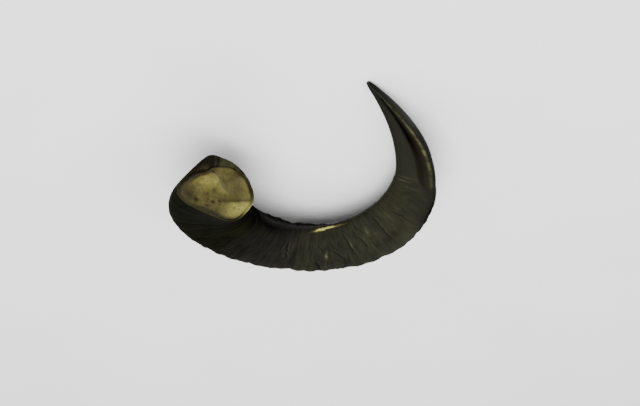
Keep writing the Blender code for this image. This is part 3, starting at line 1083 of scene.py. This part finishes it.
class Painter:
    """Small helpers that build one material's node tree."""

    def __init__(self, name):
        self.material = bpy.data.materials.new(name)
        self.material.use_nodes = True
        self.tree = self.material.node_tree
        self.shader = self.tree.nodes["Principled BSDF"]

    def attribute(self, name):
        """Value of a point attribute."""
        return node(self.tree, "ShaderNodeAttribute", attribute_name=name).outputs["Fac"]

    def maths(self, operation, a, b=0.0, clamp=False):
        """One sum on sockets or numbers."""
        made = node(self.tree, "ShaderNodeMath", operation=operation, use_clamp=clamp)
        for socket, value in zip(made.inputs, (a, b)):
            if isinstance(value, (int, float)):
                socket.default_value = value
            else:
                link(self.tree, value, socket)
        return made.outputs[0]

    def space(self, along, around):
        """Noise space whose marks run round the horn."""
        parts = node(self.tree, "ShaderNodeCombineXYZ")
        for socket, name, scale in zip(
            parts.inputs, ("along", "round_x", "round_y"), (along, around, around)
        ):
            link(self.tree, self.maths("MULTIPLY", self.attribute(name), scale), socket)
        return parts.outputs[0]

    def object_space(self):
        """Object coordinates."""
        return node(self.tree, "ShaderNodeTexCoord").outputs["Object"]

    def noise(self, vector, scale, detail=4.0, roughness=0.55, distortion=0.0):
        """Noise texture value."""
        made = node(self.tree, "ShaderNodeTexNoise")
        made.inputs["Scale"].default_value = scale
        made.inputs["Detail"].default_value = detail
        made.inputs["Roughness"].default_value = roughness
        made.inputs["Distortion"].default_value = distortion
        link(self.tree, vector, made.inputs["Vector"])
        return made.outputs["Fac"]

    def cells(self, vector, scale):
        """Distance to the nearest cell centre."""
        made = node(self.tree, "ShaderNodeTexVoronoi")
        made.inputs["Scale"].default_value = scale
        link(self.tree, vector, made.inputs["Vector"])
        return made.outputs["Distance"]

    def ramp(self, value, low, high, start=0.0, end=1.0):
        """Maps low to high onto start to end, clamped."""
        made = node(self.tree, "ShaderNodeMapRange", clamp=True)
        for socket, number in zip(made.inputs[1:5], (low, high, start, end)):
            socket.default_value = number
        link(self.tree, value, made.inputs[0])
        return made.outputs[0]

    def colours(self, value, stops):
        """Colour ramp through stops of (position, colour)."""
        made = node(self.tree, "ShaderNodeValToRGB")
        elements = made.color_ramp.elements
        while len(elements) < len(stops):
            elements.new(0.5)
        for element, (position, colour) in zip(elements, stops):
            element.position = position
            element.color = (*colour, 1.0)
        link(self.tree, value, made.inputs[0])
        return made.outputs[0]

    def mix(self, factor, a, b, blend="MIX"):
        """Mixes two colours; each is a socket or an rgb triple."""
        made = node(self.tree, "ShaderNodeMix", data_type="RGBA", blend_type=blend)
        for socket, value in ((made.inputs[0], factor), (made.inputs[6], a), (made.inputs[7], b)):
            if isinstance(value, (int, float)):
                socket.default_value = value
            elif isinstance(value, tuple):
                socket.default_value = (*value, 1.0)
            else:
                link(self.tree, value, socket)
        return made.outputs[2]

    def layers(self, base, table):
        """Lays colours over a base, each where the point attribute of its name says."""
        for name, colour in table:
            base = self.mix(self.attribute(name), base, colour)
        return base

    def bump(self, height, strength, distance, under=None):
        """Bump on top of another normal."""
        made = node(self.tree, "ShaderNodeBump")
        made.inputs["Strength"].default_value = strength
        made.inputs["Distance"].default_value = distance
        link(self.tree, height, made.inputs["Height"])
        if under is not None:
            link(self.tree, under, made.inputs["Normal"])
        return made.outputs[0]

    def finish(self, colour, roughness, normal, specular):
        """Joins the results to the shader; the specular level is a number or a socket."""
        for value, name in ((colour, "Base Color"), (roughness, "Roughness"), (normal, "Normal")):
            link(self.tree, value, self.shader.inputs[name])
        if isinstance(specular, float):
            self.shader.inputs["Specular IOR Level"].default_value = specular
        else:
            link(self.tree, specular, self.shader.inputs["Specular IOR Level"])
        return self.material


def horn_material(colours):
    """Dark olive horn: growth streaks, worn edges, painted shade and highlights, brown inner wall with
    painted shadow, and paler rim.
    """
    paint = Painter("horn_keratin")
    streaks = paint.noise(paint.space(230.0, 1.2), 1.0, 5.0, 0.6, 0.25)
    fine_streaks = paint.noise(paint.space(900.0, 2.2), 1.0, 3.0, 0.6)
    patches = paint.noise(paint.object_space(), 26.0, 4.0, 0.6)
    base = paint.colours(
        streaks,
        (
            (0.28, colours.darkest),
            (0.46, colours.dark),
            (0.60, colours.middle),
            (0.78, colours.light),
        ),
    )
    light_lines = paint.ramp(fine_streaks, 0.45, 0.75, 0.0, 0.50)
    blotches = paint.noise(paint.space(38.0, 1.6), 1.0, 3.0, 0.55, 0.4)
    light_lines = paint.maths("MULTIPLY", light_lines, paint.ramp(blotches, 0.38, 0.62, 0.25, 1.0))
    light_lines = paint.maths("MULTIPLY", light_lines, paint.attribute("grown"))
    even = paint.maths("SUBTRACT", 1.0, paint.attribute("grown"))
    base = paint.mix(even, base, tuple(colours.cone))
    base = paint.mix(light_lines, base, (0.0205, 0.0212, 0.0106))
    base = paint.mix(paint.ramp(blotches, 0.42, 0.62, 0.0, 0.35), base, (0.0125, 0.0130, 0.0068))
    olive = paint.mix(paint.ramp(patches, 0.35, 0.7), (0.82, 0.84, 0.90), (1.15, 1.18, 0.95))
    base = paint.mix(1.0, base, olive, "MULTIPLY")
    base = paint.mix(1.0, base, paint.attribute("tone"), "MULTIPLY")
    purple = paint.mix(paint.attribute("violet"), (1.0, 1.0, 1.0), (1.12, 0.98, 1.40))
    base = paint.mix(1.0, base, purple, "MULTIPLY")
    brown = paint.colours(patches, ((0.3, (0.0048, 0.0034, 0.0020)), (0.7, (0.0092, 0.0072, 0.0042))))
    base = paint.mix(paint.attribute("brown"), base, brown)
    # Painted shade: near black on the faces turned from the light and in cuts, grooves and spots.
    base = paint.mix(paint.attribute("shade"), base, (0.0005, 0.0005, 0.0004))
    pale = paint.colours(fine_streaks, ((0.30, colours.worn_dark), (0.62, colours.worn_light)))
    base = paint.mix(paint.attribute("worn"), base, pale)
    # Grey scuffs, and painted highlights beside the cuts.
    base = paint.mix(paint.attribute("scuff_and_highlight"), base, (0.105, 0.104, 0.060))
    fibre = paint.noise(paint.space(60.0, 9.0), 1.0, 4.0, 0.6)
    wall = paint.colours(fibre, ((0.3, colours.wall_low), (0.7, colours.wall_high)))
    base = paint.mix(paint.attribute("inner"), base, paint.layers(wall, WALL_LAYERS))
    base = paint.mix(paint.attribute("rim"), base, (0.0200, 0.0190, 0.0078))
    rough = paint.ramp(streaks, 0.3, 0.8, 0.50, 0.66)
    normal = paint.bump(fine_streaks, 0.35, 0.0006)
    normal = paint.bump(paint.noise(paint.object_space(), 900.0, 3.0, 0.6), 0.12, 0.0003, normal)
    return paint.finish(base, rough, normal, paint.maths("MULTIPLY", paint.attribute("gloss"), 0.06))


def bone_material(colours):
    """Khaki porous bone: pale crests with a painted highlight, yellow faces painted brighter towards
    the light, brown hollows and dark pits with painted shade, and painted shadow at its edge.
    """
    paint = Painter("horn_core_bone")
    space = paint.object_space()
    broad = paint.noise(space, 60.0, 4.0, 0.55)
    grain = paint.noise(space, 330.0, 5.0, 0.65)
    base = paint.colours(
        broad,
        (
            (0.30, colours.bone_dark),
            (0.50, colours.bone_middle),
            (0.70, colours.bone_light),
        ),
    )
    base = paint.mix(paint.ramp(grain, 0.40, 0.72, 0.0, 0.5), base, (0.052, 0.038, 0.0105))
    base = paint.layers(base, BONE_LAYERS)
    pits = paint.cells(space, 420.0)
    base = paint.mix(paint.ramp(pits, 0.08, 0.24, 0.30, 0.0), base, (0.034, 0.026, 0.008))
    normal = paint.bump(grain, 0.5, 0.0010)
    normal = paint.bump(pits, 0.3, 0.0006, normal)
    return paint.finish(base, paint.ramp(grain, 0.3, 0.7, 0.62, 0.8), normal, 0.15)


def floor_material(colours):
    """Plain pale floor with a barely seen mottle."""
    paint = Painter("stage_floor_pale")
    mottle = paint.noise(paint.object_space(), 6.0, 3.0, 0.5)
    dark, light = tuple(colours.floor_dark), tuple(colours.floor_light)
    base = paint.mix(paint.ramp(mottle, 0.3, 0.7), dark, light)
    normal = paint.bump(mottle, 0.02, 0.001)
    return paint.finish(base, paint.ramp(mottle, 0.3, 0.7, 0.75, 0.85), normal, 0.1)


class OBJECT_OT_ram_horn_sheath(bpy.types.Operator):
    """Builds the horn sheath with its growth relief and worn edges"""

    bl_idname = "object.ram_horn_sheath"
    bl_label = "Build Horn Sheath"

    def execute(self, context):
        shape = context.scene.horn_shape
        surface = context.scene.horn_surface
        grid = sheath_grid(shape, surface)
        marks = sheath_marks(shape, surface, grid)
        points = in_box(laid_down(shape, sheath_points(shape, surface, grid, marks)))
        attributes = body_attributes(shape, grid, marks) | mouth_attributes(shape, grid)
        sheath = wrapped_sheet("horn_sheath_surface", points, attributes)
        sheath.data.materials.append(horn_material(context.scene.horn_colours))
        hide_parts("horn_sheath")
        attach(sheath, "root")
        return {"FINISHED"}


class OBJECT_OT_ram_horn_core(bpy.types.Operator):
    """Builds the lumpy end of the bony core in the mouth"""

    bl_idname = "object.ram_horn_core"
    bl_label = "Build Bone Core"

    def execute(self, context):
        shape = context.scene.horn_shape
        core = context.scene.horn_core
        grid = core_grid(shape, context.scene.horn_surface, core)
        forms = core_forms(grid)
        points = in_box(laid_down(shape, core_points(core, grid, forms)))
        item = wrapped_sheet("bone_core_surface", points, core_attributes(grid, forms))
        item.data.materials.append(bone_material(context.scene.horn_colours))
        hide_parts("bone_core")
        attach(item, "root")
        return {"FINISHED"}


class SCENE_OT_ram_horn_stage(bpy.types.Operator):
    """Sets the floor, the soft lights and the camera"""

    bl_idname = "scene.ram_horn_stage"
    bl_label = "Build Studio"

    def execute(self, context):
        stage = context.scene.horn_stage
        mesh = bmesh.new()
        bmesh.ops.create_circle(mesh, cap_ends=True, segments=96, radius=stage.floor_radius)
        data = bpy.data.meshes.new("stage_floor")
        mesh.to_mesh(data)
        mesh.free()
        floor = bpy.data.objects.new("stage_floor", data)
        context.collection.objects.link(floor)
        data.materials.append(floor_material(context.scene.horn_colours))
        for name, place, size, power in LIGHTS:
            self.add_light(name, place, size, power)
        world = bpy.data.worlds.new("studio_world")
        context.scene.world = world
        world.use_nodes = True
        background = world.node_tree.nodes["Background"]
        background.inputs["Color"].default_value = (1.0, 1.0, 1.0, 1.0)
        background.inputs["Strength"].default_value = stage.surroundings
        self.add_camera(stage)
        return {"FINISHED"}

    def add_light(self, name, place, size, power):
        """Adds a square soft light aimed at the horn."""
        data = bpy.data.lights.new(name, "AREA")
        data.size = size
        data.energy = power
        light = bpy.data.objects.new(name, data)
        light.location = place
        aim = Vector(LIGHT_AIM) - light.location
        light.rotation_euler = aim.to_track_quat("-Z", "Y").to_euler()
        bpy.context.collection.objects.link(light)

    def add_camera(self, stage):
        """Adds the camera at the photograph's viewing angle."""
        azimuth, elevation = math.radians(stage.azimuth), math.radians(stage.elevation)
        back = Vector(
            (
                math.sin(azimuth) * math.cos(elevation),
                -math.cos(azimuth) * math.cos(elevation),
                math.sin(elevation),
            )
        )
        data = bpy.data.cameras.new("photo_camera")
        data.lens = stage.lens
        data.clip_start, data.clip_end = 0.01, 50.0
        camera = bpy.data.objects.new("photo_camera", data)
        camera.location = Vector(stage.target) + back * stage.distance
        turn = (-back).to_track_quat("-Z", "Y").to_matrix()
        roll = Matrix.Rotation(math.radians(stage.roll), 3, "Z")
        camera.rotation_euler = (turn @ roll).to_euler()
        bpy.context.collection.objects.link(camera)
        bpy.context.scene.camera = camera


class VIEW3D_PT_ram_horn(bpy.types.Panel):
    """Sidebar panel with the horn's settings and steps"""

    bl_idname = "VIEW3D_PT_ram_horn"
    bl_label = "Ram Horn"
    bl_space_type = "VIEW_3D"
    bl_region_type = "UI"
    bl_category = "Horn"

    def draw(self, context):
        layout = self.layout
        for group, fields in (
            (context.scene.horn_shape, ("length", "bend_radii", "climb_angles", "girth_radii")),
            (context.scene.horn_surface, ("rows", "columns", "wrinkle", "ridge", "fine")),
            (context.scene.horn_core, ("rows", "columns", "roughness")),
            (context.scene.horn_colours, ("dark", "light", "worn_light", "bone_light")),
            (context.scene.horn_stage, ("azimuth", "elevation", "distance", "lens")),
        ):
            box = layout.box()
            for field in fields:
                box.prop(group, field)
        layout.operator(OBJECT_OT_ram_horn_sheath.bl_idname)
        layout.operator(OBJECT_OT_ram_horn_core.bl_idname)
        layout.operator(SCENE_OT_ram_horn_stage.bl_idname)


GROUPS = (
    ("horn_shape", HornShapeSettings),
    ("horn_surface", HornSurfaceSettings),
    ("horn_core", HornCoreSettings),
    ("horn_colours", HornColourSettings),
    ("horn_stage", HornStageSettings),
)
CLASSES = (
    OBJECT_OT_ram_horn_sheath,
    OBJECT_OT_ram_horn_core,
    SCENE_OT_ram_horn_stage,
    VIEW3D_PT_ram_horn,
)


def register():
    """Registers the settings, the operators and the panel."""
    for name, group in GROUPS:
        bpy.utils.register_class(group)
        setattr(bpy.types.Scene, name, PointerProperty(type=group))
    for item in CLASSES:
        bpy.utils.register_class(item)


def unregister():
    """Takes back what register has done."""
    for item in reversed(CLASSES):
        bpy.utils.unregister_class(item)
    for name, group in reversed(GROUPS):
        delattr(bpy.types.Scene, name)
        bpy.utils.unregister_class(group)


def main():
    """Builds the horn and its studio."""
    register()
    bpy.ops.object.ram_horn_sheath()
    bpy.ops.object.ram_horn_core()
    bpy.ops.scene.ram_horn_stage()


if __name__ == "__main__":
    main()
